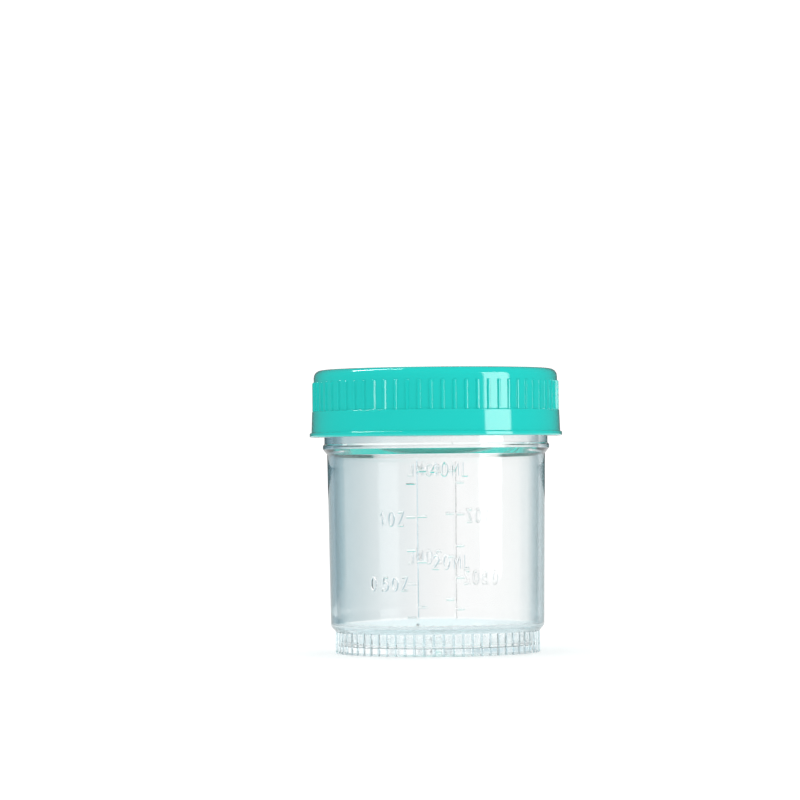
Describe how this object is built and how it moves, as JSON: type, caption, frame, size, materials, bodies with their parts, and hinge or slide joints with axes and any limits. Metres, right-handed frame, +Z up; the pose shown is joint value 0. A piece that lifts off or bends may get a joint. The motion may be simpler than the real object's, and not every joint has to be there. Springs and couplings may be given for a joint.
{
  "type": "specimen container",
  "caption": "Clear moulded specimen cup with a raised volume scale, ribbed foot and a teal ribbed screw cap over a sealing ring.",
  "frame": {"origin": "middle of the foot's standing plane", "axes": "+Z up along the container's axis, -Y the side of the front scale, +X to the right seen from the front"},
  "size_m": [0.0482, 0.0482, 0.0539],
  "materials": {
    "clear_plastic": "translucent polypropylene, gloss moulded, faintly blue at its edges",
    "cap_plastic": "opaque teal, gloss moulded",
    "seal_rubber": "soft pale seal, matt"
  },
  "bodies": {
    "container": {"container_body": "clear_plastic"},
    "seal": {"sealing_ring": "seal_rubber"},
    "cap": {"screw_cap": "cap_plastic"}
  },
  "joints": [
    {"name": "cap_lift", "type": "slide", "parent": "container", "child": "seal", "axis": [0, 0, 1], "range_m": [0, 0.0127]},
    {"name": "cap_turn", "type": "hinge", "parent": "seal", "child": "cap", "pos_m": [0, 0, 0], "axis": [0, 0, 1], "range_deg": [0, 1080]}
  ],
  "couplings": [
    {"joint": "cap_lift", "follows": "cap_turn", "m_per_rad": 0.0006737}
  ]
}
